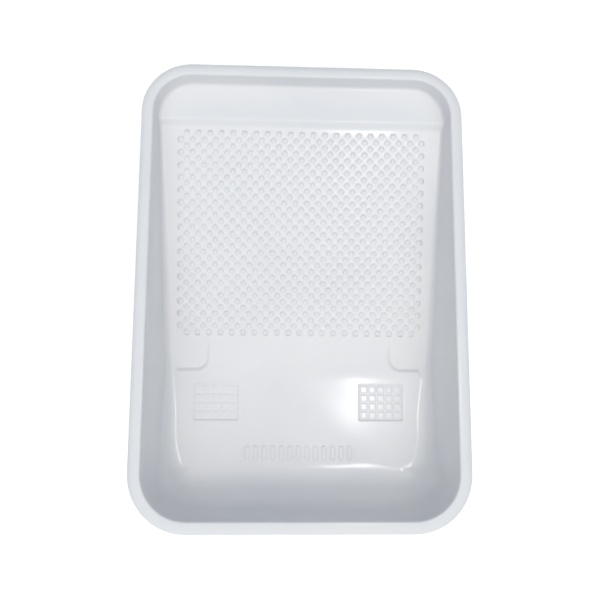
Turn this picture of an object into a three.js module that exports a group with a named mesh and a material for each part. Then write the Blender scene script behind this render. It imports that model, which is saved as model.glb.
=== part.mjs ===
// A disposable roller tray: one thin sheet of white plastic, vacuum-formed into a rim, drafted walls,
// a shallow shelf at the back, a ramp and a deep well at the front.
// Millimetres. +Z is up, +Y points to the shallow back end, -Y to the well, and X = 0 is the mirror plane.
// The origin is under the middle of the tray, on the surface that its two feet stand on.
import * as THREE from "three";

// The sheet and its rim
const SHEET = 1;
const RIM_WIDTH = 273;
const RIM_LENGTH = 388;
const RIM_HEIGHT = 65;
const BACK_CORNER = 42;
const FRONT_CORNER = 47;
const LIP_DROP = 4.5;
const ROLL_WIDTH = 6;
const ROLL_HEIGHT = 2.6;
const FLANGE = 9;
const MOUTH_BEND = 1.8;

// The walls and their rounded feet
const WALL_DRAFT = THREE.MathUtils.degToRad(8.4);
const BACK_FOOT = 3.5;
const SIDE_FOOT = 8;
const WELL_FOOT = 13;
const CORNER_FOOT = 30.6;
const FRONT_COVE = 34;
const CORNER_START = -117;
const CORNER_GROWTH = 58.7;

// Depths below the rim, and where they change along Y
const SHELF_DEPTH = 14;
const SHELF_END = 150;
const RAMP_START = 145.5;
const RAMP_START_DEPTH = 18.5;
const RAMP_END = -64;
const WELL_DEPTH = 63;
const FOLD = 9;

// Two sunken feet in the well's floor, and two shallow pockets at the bottom of the ramp
const FOOT_DROP = 1;
const FOOT_X = [54, 92];
const FOOT_Y = [-106, -77];
const STEP_RUN = 1.2;
const POCKET_X = 82;
const POCKET_Y = [-61, -32];
const POCKET_DROP = 1.8;

// The flat part of the floor is a grid, which reaches from the front cove to the back wall's foot. Its front
// row is narrower, because the well's floor has rounded corners.
const GRID_X = 100;
const GRID_Y = [-143, 173];
const FRONT_ROW_SHARE = 0.9;
const CORNER_ROWS = [-135, -126, -117];
const LONGEST_GAP = 30;
const CORNER_STEPS = 6;
const ROLL_STEPS = 3;
const BEND_STEPS = 2;
const FOOT_STEPS = 5;

const { clamp, lerp, smoothstep } = THREE.MathUtils;

// 1 inside a range and 0 outside it, with a short slope outwards from each end
function plateau(value, [low, high]) {
  const outside = Math.max(low - value, value - high, 0);
  return 1 - clamp(outside / STEP_RUN, 0, 1);
}

// Depth of the middle of the tray at y: shelf, step, ramp, soft fold and well floor
function profileDepth(y) {
  if (y >= SHELF_END) return SHELF_DEPTH;
  if (y >= RAMP_START) {
    return lerp(RAMP_START_DEPTH, SHELF_DEPTH, (y - RAMP_START) / (SHELF_END - RAMP_START));
  }
  const slope = (WELL_DEPTH - RAMP_START_DEPTH) / (RAMP_START - RAMP_END);
  const along = clamp((y - (RAMP_END - FOLD)) / (2 * FOLD), 0, 1);
  if (along < 1) return WELL_DEPTH - slope * FOLD * along * along;
  return WELL_DEPTH - slope * (y - RAMP_END);
}

// Depth of the floor's upper face at a point, with the feet and the pockets
function floorDepth(x, y) {
  const side = Math.abs(x);
  const foot = FOOT_DROP * plateau(side, FOOT_X) * plateau(y, FOOT_Y);
  const along = clamp((POCKET_Y[1] - y) / (POCKET_Y[1] - POCKET_Y[0]), 0, 1);
  const pocket = POCKET_DROP * along * plateau(side, [POCKET_X, RIM_WIDTH]) * plateau(y, POCKET_Y);
  return profileDepth(y) + foot + pocket;
}

// Points of a piece of an ellipse about a centre, from one angle to another, both ends included
function arc(centre, reachX, reachY, from, to, steps) {
  const ellipse = new THREE.EllipseCurve(centre.x, centre.y, reachX, reachY, from, to, to < from);
  return ellipse.getPoints(steps);
}

// The sheet's upper face across the rim and the wall, as (inset from the rim's edge, height over the rim):
// up the lip, over the rolled flange, down the wall and round the wall's foot to the floor
function section(depth, footBend) {
  const quarter = Math.PI / 2;
  const wallRun = Math.tan(WALL_DRAFT);
  const lip = new THREE.Vector2(0, -LIP_DROP);
  const roll = new THREE.Vector2(ROLL_WIDTH, -ROLL_HEIGHT);
  const mouthBend = new THREE.Vector2(FLANGE - MOUTH_BEND * wallRun, -MOUTH_BEND);
  const mouth = FLANGE + MOUTH_BEND / Math.cos(WALL_DRAFT) - 2 * MOUTH_BEND * wallRun;
  const footHeight = footBend - depth;
  const footInset = mouth - footHeight * wallRun + footBend / Math.cos(WALL_DRAFT);
  const foot = new THREE.Vector2(footInset, footHeight);
  return [
    lip,
    ...arc(roll, ROLL_WIDTH, ROLL_HEIGHT, Math.PI, quarter, ROLL_STEPS),
    ...arc(mouthBend, MOUTH_BEND, MOUTH_BEND, quarter, WALL_DRAFT, BEND_STEPS),
    ...arc(foot, footBend, footBend, Math.PI + WALL_DRAFT, 3 * quarter, FOOT_STEPS),
  ];
}

// The same line one sheet thickness lower, moved at each point along the mitre of its two neighbours
function underside(line) {
  return line.map((point, i) => {
    const before = point.clone().sub(line[Math.max(i - 1, 0)]);
    const after = line[Math.min(i + 1, line.length - 1)].clone().sub(point);
    const one = before.lengthSq() > 0 ? before.normalize() : after.clone().normalize();
    const other = after.lengthSq() > 0 ? after.normalize() : one.clone();
    const along = one.clone().add(other).normalize();
    const mitre = SHEET / along.dot(one);
    return new THREE.Vector2(point.x + along.y * mitre, point.y - along.x * mitre);
  });
}

// Sorted positions from low to high, with extra lines where the floor changes and no gap over LONGEST_GAP
function gridLines(low, high, extra) {
  const marks = [low, ...extra, high].sort((a, b) => a - b);
  return marks.flatMap((mark, i) => {
    const next = marks[i + 1] ?? mark;
    const steps = Math.max(1, Math.ceil((next - mark) / LONGEST_GAP));
    return Array.from({ length: i + 1 < marks.length ? steps : 1 }, (_, k) => lerp(mark, next, k / steps));
  });
}

const withSlopes = ([low, high]) => [low - STEP_RUN, low, high, high + STEP_RUN];
const footColumns = [...withSlopes(FOOT_X), POCKET_X - STEP_RUN, POCKET_X];
const columns = gridLines(-GRID_X, GRID_X, [...footColumns, ...footColumns.map((x) => -x)]);
const foldRows = [-1, -0.5, 0, 0.5, 1].map((k) => RAMP_END + k * FOLD);
const rows = gridLines(...GRID_Y, [
  SHELF_END,
  RAMP_START,
  ...foldRows.filter((y) => Math.abs(y - POCKET_Y[0]) > 2 * STEP_RUN),
  ...withSlopes(FOOT_Y),
  ...CORNER_ROWS,
  POCKET_Y[0] - STEP_RUN,
  ...POCKET_Y,
]);

// One station for each place round the tray where a section stands: a point on the rim's edge, the way
// outwards, and the grid point that the section runs to. Counter-clockwise, from the front right corner.
function stations() {
  const halfWidth = RIM_WIDTH / 2;
  const halfLength = RIM_LENGTH / 2;
  const lastColumn = columns.length - 1;
  const lastRow = rows.length - 1;
  const list = [];
  const straight = (x, y, outX, outY, column, row) => {
    list.push({ edge: new THREE.Vector2(x, y), out: new THREE.Vector2(outX, outY), column, row });
  };
  const corner = (signX, signY, radius, start, column, row) => {
    for (let k = 0; k <= CORNER_STEPS; k++) {
      const angle = start + (k / CORNER_STEPS) * (Math.PI / 2);
      const out = new THREE.Vector2(Math.cos(angle), Math.sin(angle));
      const centre = new THREE.Vector2(signX * (halfWidth - radius), signY * (halfLength - radius));
      list.push({ edge: centre.addScaledVector(out, radius), out, column, row });
    }
  };
  const spread = (i, radius) => (columns[i] * (halfWidth - radius)) / GRID_X;
  for (let i = 1; i < lastRow; i++) straight(halfWidth, rows[i], 1, 0, lastColumn, i);
  corner(1, 1, BACK_CORNER, 0, lastColumn, lastRow);
  for (let i = lastColumn - 1; i > 0; i--) straight(spread(i, BACK_CORNER), halfLength, 0, 1, i, lastRow);
  corner(-1, 1, BACK_CORNER, Math.PI / 2, 0, lastRow);
  for (let i = lastRow - 1; i > 0; i--) straight(-halfWidth, rows[i], -1, 0, 0, i);
  corner(-1, -1, FRONT_CORNER, Math.PI, 0, 0);
  for (let i = 1; i < lastColumn; i++) straight(spread(i, FRONT_CORNER), -halfLength, 0, -1, i, 0);
  corner(1, -1, FRONT_CORNER, 1.5 * Math.PI, lastColumn, 0);
  return list;
}

// Radius of the wall's foot: small at the back, larger along the well, growing softly from CORNER_START on
// and some way round the front corner, and a wide cove at the front
function footRadius({ edge, out }) {
  if (out.y < -0.999) {
    const inwards = RIM_WIDTH / 2 - FRONT_CORNER - Math.abs(edge.x);
    return lerp(CORNER_FOOT, FRONT_COVE, smoothstep(inwards, 0, 30));
  }
  const well = lerp(WELL_FOOT, SIDE_FOOT, smoothstep(edge.y, FOOT_Y[0], RAMP_END));
  const side = lerp(well, BACK_FOOT, smoothstep(edge.y, RAMP_END, RAMP_START));
  const roundCorner = FRONT_CORNER * Math.asin(Math.max(0, -out.y));
  const along = CORNER_START - Math.max(edge.y, FRONT_CORNER - RIM_LENGTH / 2) + roundCorner;
  return lerp(side, CORNER_FOOT, smoothstep(along, 0, CORNER_GROWTH));
}

// One face of the sheet as rows of vertices: the sections all round, and the grid of the floor inside them
function layFace(positions, isUnderside) {
  const add = (x, y, z) => positions.push(x, y, z + RIM_HEIGHT) / 3 - 1;
  const drop = isUnderside ? SHEET : 0;
  const grid = rows.map((y, row) => {
    const share = row === 0 ? FRONT_ROW_SHARE : 1;
    return columns.map((x) => add(x * share, y, -floorDepth(x * share, y) - drop));
  });
  const rings = stations().map((station) => {
    const depth = floorDepth(columns[station.column], rows[station.row]);
    const line = section(depth, footRadius(station));
    const ring = (isUnderside ? underside(line) : line).map(({ x: inset, y: height }) => {
      const place = station.edge.clone().addScaledVector(station.out, -inset);
      return add(place.x, place.y, height);
    });
    return [...ring, grid[station.row][station.column]];
  });
  return { grid, rings };
}

function traySheet() {
  const positions = [];
  const triangles = [];
  const quad = (a, b, c, d) => {
    for (const [p, q, r] of [[a, b, c], [a, c, d]]) {
      if (p !== q && q !== r && r !== p) triangles.push(p, q, r);
    }
  };
  const upper = layFace(positions, false);
  const lower = layFace(positions, true);
  const patch = (lines, closed, flip) => {
    const last = closed ? lines.length : lines.length - 1;
    for (let i = 0; i < last; i++) {
      const near = lines[i];
      const far = lines[(i + 1) % lines.length];
      for (let k = 0; k + 1 < near.length; k++) {
        if (flip) quad(near[k], far[k], far[k + 1], near[k + 1]);
        else quad(near[k], near[k + 1], far[k + 1], far[k]);
      }
    }
  };
  patch(upper.grid, false, false);
  patch(lower.grid, false, true);
  patch(upper.rings, true, true);
  patch(lower.rings, true, false);
  const lipEdge = upper.rings.map((ring, i) => [lower.rings[i][0], ring[0]]);
  patch(lipEdge, true, true);
  const geometry = new THREE.BufferGeometry();
  geometry.setAttribute("position", new THREE.Float32BufferAttribute(positions, 3));
  geometry.setIndex(triangles);
  geometry.computeVertexNormals();
  return geometry;
}

const whitePlastic = new THREE.MeshStandardMaterial({ color: 0xe6e7eb, roughness: 0.28, metalness: 0 });

const tray = new THREE.Mesh(traySheet(), whitePlastic);
tray.name = "tray_shell";

const part = new THREE.Group();
part.add(tray);

export default part;
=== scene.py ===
"""The look of a white vacuum-formed roller tray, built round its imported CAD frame.

Lengths inside the script are in millimetres, in the CAD frame: +Z up, +Y to the shallow back end.
The mesh is made in millimetres and scaled to metres when it is handed to Blender.
"""

import math

import bmesh
import bpy
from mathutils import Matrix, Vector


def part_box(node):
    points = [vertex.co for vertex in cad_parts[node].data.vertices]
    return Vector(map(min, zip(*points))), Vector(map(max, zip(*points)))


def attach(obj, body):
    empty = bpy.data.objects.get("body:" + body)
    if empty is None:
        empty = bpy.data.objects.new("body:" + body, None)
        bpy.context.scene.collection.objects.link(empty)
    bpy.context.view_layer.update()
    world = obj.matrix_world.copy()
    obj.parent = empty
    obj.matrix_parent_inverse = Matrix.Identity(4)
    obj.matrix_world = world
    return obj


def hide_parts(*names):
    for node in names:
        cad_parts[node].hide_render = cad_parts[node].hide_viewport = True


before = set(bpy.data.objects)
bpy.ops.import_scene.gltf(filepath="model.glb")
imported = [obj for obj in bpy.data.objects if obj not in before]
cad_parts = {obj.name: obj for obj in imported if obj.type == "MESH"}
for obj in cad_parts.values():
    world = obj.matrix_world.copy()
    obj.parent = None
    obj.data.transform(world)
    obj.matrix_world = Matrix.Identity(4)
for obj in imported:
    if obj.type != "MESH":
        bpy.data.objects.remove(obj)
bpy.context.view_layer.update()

NODE = "tray_shell"
MM = 0.001

# The frame's own sizes
_, high_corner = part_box(NODE)
HALF_WIDTH = high_corner.x / MM
HALF_LENGTH = high_corner.y / MM
RIM_HEIGHT = high_corner.z / MM

# The sheet, its rim and its walls, as in the CAD part
SHEET = 1.0
BACK_CORNER = 42.0
FRONT_CORNER = 47.0
LIP_DROP = 4.5
ROLL_WIDTH = 6.0
ROLL_HEIGHT = 2.6
FLANGE = 9.0
MOUTH_BEND = 1.8
WALL_DRAFT = math.radians(8.4)
MOUTH_EDGE = FLANGE + MOUTH_BEND * (1 / math.cos(WALL_DRAFT) - 2 * math.tan(WALL_DRAFT))
BACK_FOOT = 3.5
SIDE_FOOT = 8.0
WELL_FOOT = 13.0
CORNER_FOOT = 30.6
FRONT_COVE = 34.0
CORNER_START = -117.0
CORNER_GROWTH = 58.7
FRONT_WIDENING = 30.0

# Depths below the rim, and where they change along Y
SHELF_DEPTH = 14.0
SHELF_END = 150.0
RAMP_START = 145.5
RAMP_START_DEPTH = 18.5
RAMP_END = -64.0
WELL_DEPTH = 63.0
FOLD = 9.0
EDGE_BEND = 1.2

# The bump field: a staggered grid of tiles with a bump on every second one, which reaches into its
# four plain neighbours. Each ring of a bump is (radius, share of the bump's height).
TILE_X = 5.0
TILE_Y = 5.29
BUMP_COLUMNS = 43
BUMP_ROWS = 33
BUMP_BACK = 141.75
BUMP_HEIGHT = 1.35
BUMP_SPREAD = (0.92, 1.08)
BUMP_RINGS = [(0.9, 0.9), (1.6, 0.68), (2.2, 0.38), (2.7, 0.13), (3.1, 0.0)]

# Two sunken waffle feet in the well, and two shallow pockets at the bottom of the ramp
FOOT_DROP = 1.0
FOOT_X = (54.375, 91.875)
FOOT_Y = (-106.375, -76.375)
FOOT_WALL = 1.25
FOOT_COLUMNS = 5
FOOT_ROWS = 4
CELL_HEIGHT = 0.4
CELL_GAP = 0.9
CELL_WALL = 0.7
POCKET_X = 82.5
POCKET_Y = (-61.0, -32.0)
POCKET_CORNER = 9.0
POCKET_DROP = 1.8
POCKET_WALL = 4.0

# A row of plain ribs at the front of the well
RIB_PITCH = 7.5
RIBS_EACH_SIDE = 6
RIB_HALF_WIDTH = 1.25
RIB_SPAN_Y = (-141.0, -130.0)
RIB_HEIGHT = 0.7
RIB_WALL = 1.2

# The unevenness of the sheet, as waves of (height, length along X, length along Y, phase)
RIPPLES = [(0.10, 31, 47, 0.6), (0.07, 17, -29, 2.1), (0.03, 9.5, 7.5, 0.0)]

# The grid of the floor, and the sections round it
FLOOR_FRONT = -146.5
FLOOR_BACK = 171.0
PLAIN_STEP = 5.0
FINE_REACH = 4.6
CORNER_STEPS = 20
FOOT_GAP = 1.5
FRONT_STEP = 4.2
KEPT_COLUMNS = 92.5
KEPT_COLUMNS_FRONT = 62.5
ROLL_STEPS = 8
MOUTH_STEPS = 5
WALL_STEPS = 5
FOOT_STEPS = 12

# How finely each face of the floor is cut: cuts along a fine tile's side, rings and their sides
UPPER_CUT = (8, BUMP_RINGS, 10)
LOWER_CUT = (2, BUMP_RINGS[1::3], 6)

# The white of the sheet, and the size of its clouding and of its grain per metre
WHITES = [(0.35, (0.768, 0.758, 0.77, 1)), (0.65, (0.793, 0.78, 0.785, 1))]
CLOUD_SCALE = 14.0
GRAIN_SCALE = 900.0
GRAIN_DEPTH = 0.0002
ROUGHNESS = (0.12, 0.18)
GLOW_SHARE = 0.25
GLOW_REACH = 0.002

# The studio, in metres. The dome's levels are (height towards its brightest point, brightness).
DOME_AIM = (0.0, -0.3, 0.95)
DOME_LEVELS = [(0.0, 0.08), (0.3, 0.15), (0.6, 0.47), (0.85, 0.98), (1.0, 1.06)]
DOME_STRENGTH = 1.56
DOME_LOW_TINT = (0.36, 0.7, 1.05)
DOME_HIGH_TINT = (1.015, 0.982, 0.93)
SOFTBOX_PLACE = (0.36, -0.035, 2.5)
SOFTBOX_AIM = (0.05, -0.08, 0)
SOFTBOX_SIZE = (0.26, 0.14)
SOFTBOX_WATTS = 2.4
STUDIO_REACH = 6.0
STUDIO_GAP = 0.0004
STUDIO_GLOW = 0.3
CAMERA_PLACE = (-0.0254, -0.094)
CAMERA_OVER_RIM = 0.5634
CAMERA_TURN = (8.53, -2.43, 0.3)
CAMERA_LENS = 42


def clamp(value):
    return min(1.0, max(0.0, value))


def mix(a, b, share):
    return a + (b - a) * share


def between(a, b, share):
    return tuple(mix(c, d, share) for c, d in zip(a, b))


def smooth(value):
    t = clamp(value)
    return t * t * (3 - 2 * t)


# ---------------------------------------------------------------- the shape of the floor


def bend(distance, half_width):
    """0 before a bend, distance after it, and a parabola that joins the two across it."""
    if distance <= -half_width:
        return 0.0
    if distance >= half_width:
        return distance
    return (distance + half_width) ** 2 / (4 * half_width)


def profile_depth(y):
    """Depth of the middle of the tray: well floor, soft fold, ramp, step and shelf."""
    ramp = (WELL_DEPTH - RAMP_START_DEPTH) / (RAMP_START - RAMP_END)
    step = (RAMP_START_DEPTH - SHELF_DEPTH) / (SHELF_END - RAMP_START)
    rise = ramp * bend(y - RAMP_END, FOLD)
    rise += (step - ramp) * bend(y - RAMP_START, EDGE_BEND)
    rise -= step * bend(y - SHELF_END, EDGE_BEND)
    return WELL_DEPTH - rise


def box_distance(x, y, span_x, span_y, radius):
    """Distance outwards from a rectangle with rounded corners, negative inside it."""
    dx = abs(x - sum(span_x) / 2) - (span_x[1] - span_x[0]) / 2 + radius
    dy = abs(y - sum(span_y) / 2) - (span_y[1] - span_y[0]) / 2 + radius
    outside = math.hypot(max(dx, 0.0), max(dy, 0.0))
    return outside + min(max(dx, dy), 0.0) - radius


def foot_depth(x, y):
    """A sunken foot that stands on the table, with raised square cells in it."""
    distance = box_distance(x, y, FOOT_X, FOOT_Y, 0.0)
    drop = FOOT_DROP * clamp(1 - distance / FOOT_WALL)
    if distance >= 0:
        return drop
    to_gap = min(
        gap_distance(x, FOOT_X, FOOT_COLUMNS),
        gap_distance(y, FOOT_Y, FOOT_ROWS),
    )
    return drop - CELL_HEIGHT * smooth((to_gap - CELL_GAP / 2) / CELL_WALL)


def gap_distance(value, span, cells):
    """Distance from the nearest edge between two cells of a row."""
    cell = (span[1] - span[0]) / cells
    place = (value - span[0]) / cell
    return abs(place - round(place)) * cell


def pocket_depth(x, y):
    """A shallow pocket that gets deeper down the ramp and runs into the side wall."""
    into_wall, up_the_ramp = 3 * POCKET_X, -POCKET_Y[0]
    spans = (POCKET_X, into_wall), (POCKET_Y[0], up_the_ramp)
    distance = box_distance(x, y, *spans, POCKET_CORNER)
    along = clamp((POCKET_Y[1] - y) / (POCKET_Y[1] - POCKET_Y[0]))
    return POCKET_DROP * along * smooth(1 - distance / POCKET_WALL)


def rib_height(x, y):
    """One of the plain ribs at the front of the well."""
    nearest = max(-RIBS_EACH_SIDE, min(RIBS_EACH_SIDE, round(x / RIB_PITCH))) * RIB_PITCH
    span_x = (nearest - RIB_HALF_WIDTH, nearest + RIB_HALF_WIDTH)
    distance = box_distance(x, y, span_x, RIB_SPAN_Y, RIB_HALF_WIDTH)
    return RIB_HEIGHT * smooth(1 - distance / RIB_WALL)


def side_foot(y, round_corner=0.0):
    """Radius of a side wall's foot: small at the back, larger along the well, and growing softly
    from CORNER_START on and some way round the front corner."""
    well = mix(WELL_FOOT, SIDE_FOOT, smooth((y - FOOT_Y[0]) / (RAMP_END - FOOT_Y[0])))
    side = mix(well, BACK_FOOT, smooth((y - RAMP_END) / (RAMP_START - RAMP_END)))
    along = CORNER_START - max(y, FRONT_CORNER - HALF_LENGTH) + round_corner
    return mix(side, CORNER_FOOT, smooth(along / CORNER_GROWTH))


def front_foot(x):
    """Radius of the front wall's foot, a wide cove that widens a little from the corners."""
    inwards = HALF_WIDTH - FRONT_CORNER - abs(x)
    return mix(CORNER_FOOT, FRONT_COVE, smooth(inwards / FRONT_WIDENING))


def ripple(x, y):
    """The slight unevenness of a formed sheet."""
    return sum(height * math.sin(x / a + y / b + phase) for height, a, b, phase in RIPPLES)


def floor_height(x, y):
    """Height of the floor's upper face over the CAD frame's ground, without the bumps."""
    side = abs(x)
    depth = profile_depth(y) + foot_depth(side, y) + pocket_depth(side, y)
    return RIM_HEIGHT - depth + rib_height(x, y) + ripple(x, y)


# ---------------------------------------------------------------- where the floor's tiles lie


def spaced(start, end, step):
    """Evenly spaced positions from start up to end, without end."""
    count = max(1, round((end - start) / step))
    return [mix(start, end, k / count) for k in range(count)]


def column_lines():
    half = BUMP_COLUMNS * TILE_X / 2
    return [i * TILE_X - half for i in range(BUMP_COLUMNS + 1)]


def row_lines():
    """Tile edges along Y, from the well to the shelf, with close lines where the floor bends."""
    bump_front = BUMP_BACK - BUMP_ROWS * TILE_Y
    lines = spaced(FLOOR_FRONT, CORNER_START, FRONT_STEP)
    lines += spaced(CORNER_START, FOOT_Y[0], PLAIN_STEP)
    lines += spaced(FOOT_Y[0], FOOT_Y[1], PLAIN_STEP)
    lines += spaced(FOOT_Y[1], bump_front, PLAIN_STEP)
    lines += [bump_front + j * TILE_Y for j in range(BUMP_ROWS + 1)]
    for edge in (RAMP_START, SHELF_END):
        lines += [edge + k * EDGE_BEND / 2 for k in (-2, -1, 0, 1, 2)]
    return lines + spaced(SHELF_END + PLAIN_STEP, FLOOR_BACK, PLAIN_STEP) + [FLOOR_BACK]


COLUMNS = column_lines()
ROWS = row_lines()
LAST_COLUMN = len(COLUMNS) - 1
LAST_ROW = len(ROWS) - 1
FIRST_BUMP_ROW = ROWS.index(BUMP_BACK - BUMP_ROWS * TILE_Y)


def foot_inset(depth, foot):
    """How far inside the rim's edge a wall's foot ends, for a depth and a radius of the foot."""
    return MOUTH_EDGE + (depth - foot) * math.tan(WALL_DRAFT) + foot / math.cos(WALL_DRAFT)


def floor_reach(j):
    """Half the width of the flat floor at a row: it ends a little inside the side wall's foot."""
    if j == 0:
        return HALF_WIDTH - FRONT_CORNER - FOOT_GAP
    inset = foot_inset(profile_depth(ROWS[j]), side_foot(ROWS[j]))
    return min(COLUMNS[-1], HALF_WIDTH - inset - FOOT_GAP)


def front_edge(x):
    """Y of the flat floor's front edge, a little inside the foot of the front wall."""
    return foot_inset(WELL_DEPTH, front_foot(x)) + FOOT_GAP - HALF_LENGTH


def node_place(i, j):
    """Where a corner of a tile lies: the outer columns are drawn in where the floor is narrower."""
    x, y = COLUMNS[i], ROWS[j]
    kept = KEPT_COLUMNS if y > FOOT_Y[0] - PLAIN_STEP else KEPT_COLUMNS_FRONT
    if abs(x) > kept:
        drawn = kept + (abs(x) - kept) * (floor_reach(j) - kept) / (COLUMNS[-1] - kept)
        x = math.copysign(drawn, x)
    if y < CORNER_START:
        y = mix(CORNER_START, front_edge(x), (CORNER_START - y) / (CORNER_START - FLOOR_FRONT))
    return x, y


def tile_centre(i, j):
    return (COLUMNS[i] + COLUMNS[i + 1]) / 2, (ROWS[j] + ROWS[j + 1]) / 2


def in_bump_field(i, j):
    return 0 <= i < BUMP_COLUMNS and 0 <= j - FIRST_BUMP_ROW < BUMP_ROWS


def has_bump(i, j):
    """Bumps stand on every second tile, so that the back row has one on the middle line."""
    row_from_back = FIRST_BUMP_ROW + BUMP_ROWS - 1 - j
    return in_bump_field(i, j) and (i - BUMP_COLUMNS // 2 + row_from_back) % 2 == 0


def is_fine(i, j):
    """Tiles near the feet, the pockets and the ribs are cut finer."""
    if in_bump_field(i, j) or not (0 <= i < LAST_COLUMN and 0 <= j < LAST_ROW):
        return False
    x, y = tile_centre(i, j)
    near_foot = box_distance(abs(x), y, FOOT_X, FOOT_Y, 0.0) < FINE_REACH
    pocket = (POCKET_X, COLUMNS[-1])
    near_pocket = box_distance(abs(x), y, pocket, POCKET_Y, 0.0) < FINE_REACH
    ribs = (-RIBS_EACH_SIDE * RIB_PITCH, RIBS_EACH_SIDE * RIB_PITCH)
    near_rib = box_distance(x, y, ribs, RIB_SPAN_Y, 0.0) < FINE_REACH
    return near_foot or near_pocket or near_rib


# ---------------------------------------------------------------- the mesh of the floor

# The neighbours of a tile, in the order of its front, right, back and left sides
NEIGHBOURS = [(0, -1), (1, 0), (0, 1), (-1, 0)]


class Sheet:
    """The points and faces of the whole sheet."""

    def __init__(self):
        self.points = []
        self.faces = []

    def point(self, x, y, z):
        self.points.append((x, y, z))
        return len(self.points) - 1

    def band(self, near, far):
        """Quads between two lines of the same number of points."""
        for k in range(len(near) - 1):
            self.faces.append((near[k], near[k + 1], far[k + 1], far[k]))

    def zip_round(self, inner, outer, centre):
        """Triangles between two closed loops that go the same way round a centre."""

        def by_angle(loop):
            turned = []
            for v in loop:
                x, y, _ = self.points[v]
                turned.append((math.atan2(y - centre[1], x - centre[0]), v))
            turned.sort()
            return turned + [(turned[0][0] + 2 * math.pi, turned[0][1])]

        a, b = by_angle(inner), by_angle(outer)
        i = j = 0
        while i < len(a) - 1 or j < len(b) - 1:
            if j == len(b) - 1 or (i < len(a) - 1 and a[i + 1][0] <= b[j + 1][0]):
                self.faces.append((a[i][1], b[j][1], a[i + 1][1]))
                i += 1
            else:
                self.faces.append((a[i][1], b[j][1], b[j + 1][1]))
                j += 1


class Floor:
    """The floor on one face of the sheet, upper or lower, laid tile by tile."""

    def __init__(self, sheet, drop, fine_steps, rings, segments):
        self.sheet = sheet
        self.drop = drop
        self.fine_steps = fine_steps
        self.rings = rings
        self.segments = segments
        self.nodes = {
            (i, j): self.floor_point(*node_place(i, j))
            for i in range(len(COLUMNS))
            for j in range(len(ROWS))
        }
        self.middles = {}
        self.edges = {}
        for i in range(LAST_COLUMN):
            for j in range(LAST_ROW):
                self.lay_tile(i, j)

    def floor_point(self, x, y, rise=0.0):
        return self.sheet.point(x, y, floor_height(x, y) + rise - self.drop)

    def middle(self, i, j):
        """The point in the middle of a plain tile, where the bumps round it meet."""
        if (i, j) not in self.middles:
            self.middles[i, j] = self.floor_point(*tile_centre(i, j))
        return self.middles[i, j]

    def edge(self, i, j, along_x):
        """The points from one tile corner to the next, shared by the two tiles that meet there."""
        key = (i, j, along_x)
        if key not in self.edges:
            end = (i + 1, j) if along_x else (i, j + 1)
            beside = (i, j - 1) if along_x else (i - 1, j)
            steps = self.fine_steps if is_fine(i, j) or is_fine(*beside) else 1
            line = [self.nodes[i, j]]
            for k in range(1, steps):
                place = between(node_place(i, j), node_place(*end), k / steps)
                line.append(self.floor_point(*place))
            self.edges[key] = [*line, self.nodes[end]]
        return self.edges[key]

    def lay_tile(self, i, j):
        front, back = self.edge(i, j, True), self.edge(i, j + 1, True)
        left, right = self.edge(i, j, False), self.edge(i + 1, j, False)
        sides = [front[:-1], right[:-1], back[:0:-1], left[:0:-1]]
        if has_bump(i, j):
            self.lay_bump(i, j, sides)
        elif in_bump_field(i, j):
            self.lay_gap(i, j, sides)
        elif is_fine(i, j):
            self.lay_fine(i, j, front, back, left, right)
        else:
            self.sheet.faces.append(tuple(v for side in sides for v in side))

    def lay_fine(self, i, j, front, back, left, right):
        steps = self.fine_steps
        rows = [front]
        for k in range(1, steps):
            start = between(node_place(i, j), node_place(i, j + 1), k / steps)
            end = between(node_place(i + 1, j), node_place(i + 1, j + 1), k / steps)
            places = [between(start, end, n / steps) for n in range(1, steps)]
            rows.append([left[k], *(self.floor_point(*place) for place in places), right[k]])
        rows.append(back)
        for near, far in zip(rows, rows[1:]):
            self.sheet.band(near, far)

    def lay_gap(self, i, j, sides):
        """The parts of a plain tile that no bump reaches into: those on the edge of the field."""
        for (di, dj), side, after in zip(NEIGHBOURS, sides, sides[1:] + sides[:1]):
            if not in_bump_field(i + di, j + dj):
                self.sheet.faces.append((*side, after[0], self.middle(i, j)))

    def lay_bump(self, i, j, sides):
        """A round stud with a soft top and a rounded foot, out to the middles of its neighbours."""
        x, y = tile_centre(i, j)
        height = BUMP_HEIGHT * mix(*BUMP_SPREAD, bump_variation(i, j))
        loop = []
        for (di, dj), side in zip(NEIGHBOURS, sides):
            loop += side
            if in_bump_field(i + di, j + dj):
                loop.append(self.middle(i + di, j + dj))
        top = self.floor_point(x, y, height)
        before = None
        for radius, share in self.rings:
            ring = []
            for k in range(self.segments):
                angle = 2 * math.pi * k / self.segments
                place = (x + radius * math.cos(angle), y + radius * math.sin(angle))
                ring.append(self.floor_point(*place, height * share))
            if before is None:
                for k in range(self.segments):
                    self.sheet.faces.append((top, ring[k], ring[(k + 1) % self.segments]))
            else:
                self.sheet.band([*before, before[0]], [*ring, ring[0]])
            before = ring
        self.sheet.zip_round(before, loop, (x, y))


def bump_variation(i, j):
    """A number from 0 to 1 that is the same for a bump's upper and lower face."""
    return (math.sin(i * 12.9898 + j * 78.233) * 43758.5453) % 1.0


# ---------------------------------------------------------------- the wall and the rim


def arc(centre, reach, start, end, steps):
    """Points of a piece of an ellipse, from its centre and its reach sideways and upwards."""
    at = [mix(start, end, k / steps) for k in range(steps + 1)]
    return [(centre[0] + reach[0] * math.cos(a), centre[1] + reach[1] * math.sin(a)) for a in at]


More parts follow.
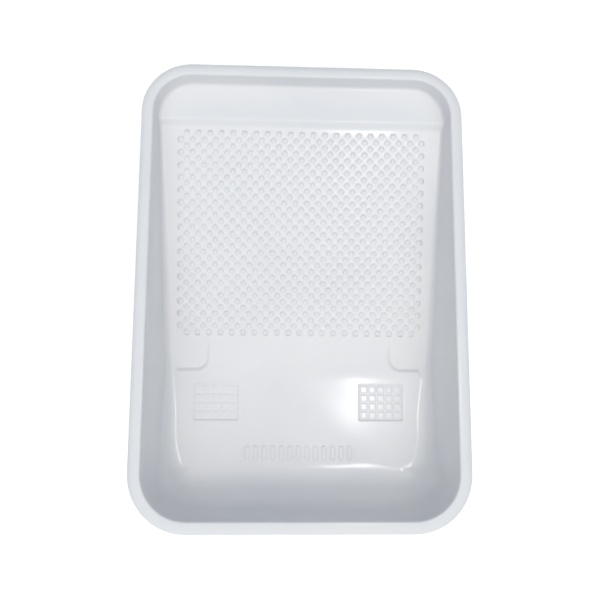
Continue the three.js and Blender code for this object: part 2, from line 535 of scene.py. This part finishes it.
def section(depth, foot):
    """The sheet's upper face across rim and wall, as (inset from the rim's edge, height above)."""
    quarter = math.pi / 2
    centre = (foot_inset(depth, foot), foot - depth)
    line = [(0.0, -LIP_DROP)]
    roll = (ROLL_WIDTH, ROLL_HEIGHT)
    line += arc((ROLL_WIDTH, -ROLL_HEIGHT), roll, math.pi, quarter, ROLL_STEPS)
    mouth = (FLANGE - MOUTH_BEND * math.tan(WALL_DRAFT), -MOUTH_BEND)
    line += arc(mouth, (MOUTH_BEND, MOUTH_BEND), quarter, WALL_DRAFT, MOUTH_STEPS)
    bottom = arc(centre, (foot, foot), math.pi + WALL_DRAFT, 3 * quarter, FOOT_STEPS)
    wall = [between(line[-1], bottom[0], k / WALL_STEPS) for k in range(1, WALL_STEPS)]
    return line + wall + bottom


def foot_radius(edge, out):
    """Radius of the wall's foot where a section stands; the front wall is the one that faces -Y."""
    if out[1] < -0.999:
        return front_foot(edge[0])
    return side_foot(edge[1], FRONT_CORNER * math.asin(max(0.0, -out[1])))


def lower_line(line):
    """The same line one sheet thickness lower, moved along the mitre of its two neighbours."""
    moved = []
    for k, (inset, height) in enumerate(line):
        ways = []
        for a, b in zip(line[max(k - 1, 0) : k + 1], line[max(k, 1) : k + 2]):
            length = math.dist(a, b)
            ways.append(((b[0] - a[0]) / length, (b[1] - a[1]) / length))
        ax, ay = sum(w[0] for w in ways), sum(w[1] for w in ways)
        length = math.hypot(ax, ay)
        mitre = SHEET * length / (ax * ways[0][0] + ay * ways[0][1])
        moved.append((inset + ay / length * mitre, height - ax / length * mitre))
    return moved


def stations():
    """Places round the tray where a section stands, counter-clockwise from the front of the right
    side: a point on the rim's edge, the way out, and the floor node that the section runs to."""
    places = []

    def corner(sign_x, sign_y, radius, start, node):
        centre = (sign_x * (HALF_WIDTH - radius), sign_y * (HALF_LENGTH - radius))
        for k in range(CORNER_STEPS + 1):
            angle = start + k / CORNER_STEPS * math.pi / 2
            out = (math.cos(angle), math.sin(angle))
            places.append(((centre[0] + radius * out[0], centre[1] + radius * out[1]), out, node))

    def spread(i, radius):
        return COLUMNS[i] * (HALF_WIDTH - radius) / COLUMNS[-1]

    def beside(j):
        """Y of the side station for a row. Rows along the shelf share the straight side's end."""
        step_end = SHELF_END + EDGE_BEND
        past = max(0.0, ROWS[j] - step_end) / (ROWS[-1] - step_end)
        return min(ROWS[j], step_end) + past * (HALF_LENGTH - BACK_CORNER - step_end)

    for j in range(1, LAST_ROW):
        places.append(((HALF_WIDTH, beside(j)), (1.0, 0.0), (LAST_COLUMN, j)))
    corner(1, 1, BACK_CORNER, 0.0, (LAST_COLUMN, LAST_ROW))
    for i in range(LAST_COLUMN - 1, 0, -1):
        places.append(((spread(i, BACK_CORNER), HALF_LENGTH), (0.0, 1.0), (i, LAST_ROW)))
    corner(-1, 1, BACK_CORNER, math.pi / 2, (0, LAST_ROW))
    for j in range(LAST_ROW - 1, 0, -1):
        places.append(((-HALF_WIDTH, beside(j)), (-1.0, 0.0), (0, j)))
    corner(-1, -1, FRONT_CORNER, math.pi, (0, 0))
    for i in range(1, LAST_COLUMN):
        places.append(((spread(i, FRONT_CORNER), -HALF_LENGTH), (0.0, -1.0), (i, 0)))
    corner(1, -1, FRONT_CORNER, 1.5 * math.pi, (LAST_COLUMN, 0))
    return places


def floor_edge(floor, start, end):
    """The floor's points from one perimeter node to the next, in the order of the stations."""
    if start == end:
        return [floor.nodes[start]]
    corner = (min(start[0], end[0]), min(start[1], end[1]))
    line = floor.edge(*corner, start[0] != end[0])
    return line if line[0] == floor.nodes[start] else line[::-1]


def lay_walls(sheet, upper, lower):
    """Walls and rim on both faces, joined to the floors' edges and to each other along the lip."""
    places = stations()
    lines = {upper: [], lower: []}
    for edge, out, node in places:
        depth = RIM_HEIGHT - sheet.points[upper.nodes[node]][2]
        top = section(depth, foot_radius(edge, out))
        for floor, line in ((upper, top), (lower, lower_line(top))):
            ring = []
            for inset, height in line:
                x, y = edge[0] - out[0] * inset, edge[1] - out[1] * inset
                ring.append(sheet.point(x, y, RIM_HEIGHT + height))
            lines[floor].append(ring)
    for k, (_, _, node) in enumerate(places):
        after = (k + 1) % len(places)
        for floor in (upper, lower):
            near, far = lines[floor][k], lines[floor][after]
            sheet.band(near, far)
            joint = floor_edge(floor, node, places[after][2])
            sheet.faces.append((far[-1], near[-1], *joint))
        lip = [(upper, k), (upper, after), (lower, after), (lower, k)]
        sheet.faces.append(tuple(lines[floor][n][0] for floor, n in lip))


def build_tray():
    sheet = Sheet()
    upper = Floor(sheet, 0.0, *UPPER_CUT)
    lower = Floor(sheet, SHEET, *LOWER_CUT)
    lay_walls(sheet, upper, lower)
    mesh = bpy.data.meshes.new("tray_sheet")
    mesh.from_pydata([(x * MM, y * MM, z * MM) for x, y, z in sheet.points], [], sheet.faces)
    shaped = bmesh.new()
    shaped.from_mesh(mesh)
    bmesh.ops.recalc_face_normals(shaped, faces=shaped.faces)
    shaped.to_mesh(mesh)
    shaped.free()
    mesh.shade_smooth()
    tray = bpy.data.objects.new("tray_sheet", mesh)
    bpy.context.scene.collection.objects.link(tray)
    return tray


# ---------------------------------------------------------------- materials


def shader(name):
    """A new node material, with its shader and a function that adds nodes to it."""
    material = bpy.data.materials.new(name)
    material.use_nodes = True
    tree = material.node_tree
    principled = tree.nodes["Principled BSDF"]

    def add(kind, values):
        node = tree.nodes.new(kind)
        for socket, value in values.items():
            if isinstance(value, bpy.types.NodeSocket):
                tree.links.new(value, node.inputs[socket])
            else:
                node.inputs[socket].default_value = value
        return node

    return material, tree, principled, add


def white_sheet():
    """Glossy white formed sheet: a cool white with faint clouding, thin enough to glow a little."""
    material, tree, principled, add = shader("white_sheet")
    place = add("ShaderNodeTexCoord", {}).outputs["Object"]

    def noise(scale, detail):
        values = {"Vector": place, "Scale": scale, "Detail": detail}
        return add("ShaderNodeTexNoise", values).outputs["Fac"]

    cloud = noise(CLOUD_SCALE, 3.0)
    tint = add("ShaderNodeValToRGB", {"Fac": cloud})
    for element, (position, colour) in zip(tint.color_ramp.elements, WHITES):
        element.position = position
        element.color = colour
    grain = noise(GRAIN_SCALE, 2.0)
    sheen = add(
        "ShaderNodeMapRange", {"Value": cloud, "To Min": ROUGHNESS[0], "To Max": ROUGHNESS[1]}
    )
    skin = add("ShaderNodeBump", {"Height": grain, "Strength": 0.06, "Distance": GRAIN_DEPTH})
    tree.links.new(tint.outputs["Color"], principled.inputs["Base Color"])
    tree.links.new(sheen.outputs["Result"], principled.inputs["Roughness"])
    tree.links.new(skin.outputs["Normal"], principled.inputs["Normal"])
    principled.inputs["IOR"].default_value = 1.5
    principled.inputs["Subsurface Weight"].default_value = GLOW_SHARE
    principled.inputs["Subsurface Radius"].default_value = (1.0, 1.0, 1.0)
    principled.inputs["Subsurface Scale"].default_value = GLOW_REACH
    return material


def pale_floor():
    """A white table that the light can't grey."""
    material, _, principled, _ = shader("pale_floor")
    principled.inputs["Base Color"].default_value = (0.9, 0.9, 0.9, 1)
    principled.inputs["Roughness"].default_value = 0.8
    principled.inputs["Emission Color"].default_value = (1, 1, 1, 1)
    principled.inputs["Emission Strength"].default_value = STUDIO_GLOW
    return material


# ---------------------------------------------------------------- the studio


def lay_floor():
    mesh = bpy.data.meshes.new("studio_floor")
    signs = [(-1, -1), (1, -1), (1, 1), (-1, 1)]
    corners = [(x * STUDIO_REACH, y * STUDIO_REACH, -STUDIO_GAP) for x, y in signs]
    mesh.from_pydata(corners, [], [(0, 1, 2, 3)])
    floor = bpy.data.objects.new("studio_floor", mesh)
    floor.data.materials.append(pale_floor())
    bpy.context.scene.collection.objects.link(floor)


def softbox():
    """A small light high on the right, which shows as the bright spot beside the right foot."""
    light = bpy.data.lights.new("softbox", "AREA")
    light.shape = "RECTANGLE"
    light.size, light.size_y = SOFTBOX_SIZE
    light.energy = SOFTBOX_WATTS
    lamp = bpy.data.objects.new("softbox", light)
    lamp.location = SOFTBOX_PLACE
    toward = Vector(SOFTBOX_AIM) - Vector(SOFTBOX_PLACE)
    lamp.rotation_euler = toward.to_track_quat("-Z", "Y").to_euler()
    bpy.context.scene.collection.objects.link(lamp)


def dome_light():
    """A pale dome, brightest overhead and a little to the front, dark and bluer low at the back."""
    world = bpy.data.worlds.new("studio")
    world.use_nodes = True
    tree = world.node_tree
    place = tree.nodes.new("ShaderNodeTexCoord")
    aim = tree.nodes.new("ShaderNodeVectorMath")
    aim.operation = "DOT_PRODUCT"
    aim.inputs[1].default_value = DOME_AIM
    tree.links.new(place.outputs["Generated"], aim.inputs[0])
    ramp = tree.nodes.new("ShaderNodeValToRGB")
    tree.links.new(aim.outputs["Value"], ramp.inputs["Fac"])
    elements = ramp.color_ramp.elements
    while len(elements) > 1:
        elements.remove(elements[0])
    for k, (position, level) in enumerate(DOME_LEVELS):
        element = elements[0] if k == 0 else elements.new(position)
        element.position = position
        tint = Vector(DOME_LOW_TINT).lerp(Vector(DOME_HIGH_TINT), position)
        element.color = (*(tint * level), 1)
    background = tree.nodes["Background"]
    tree.links.new(ramp.outputs["Color"], background.inputs["Color"])
    background.inputs["Strength"].default_value = DOME_STRENGTH
    bpy.context.scene.world = world


def light_studio():
    dome_light()
    softbox()


def place_camera():
    """Almost overhead, a little in front and to the left of the middle, as in the picture."""
    camera = bpy.data.objects.new("camera", bpy.data.cameras.new("camera"))
    camera.data.lens = CAMERA_LENS
    camera.location = (*CAMERA_PLACE, high_corner.z + CAMERA_OVER_RIM)
    camera.rotation_euler = [math.radians(a) for a in CAMERA_TURN]
    bpy.context.scene.collection.objects.link(camera)
    bpy.context.scene.camera = camera
    bpy.context.scene.view_settings.view_transform = "Standard"


place_camera()
light_studio()
lay_floor()
tray = build_tray()
tray.data.materials.append(white_sheet())
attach(tray, "root")
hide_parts(NODE)
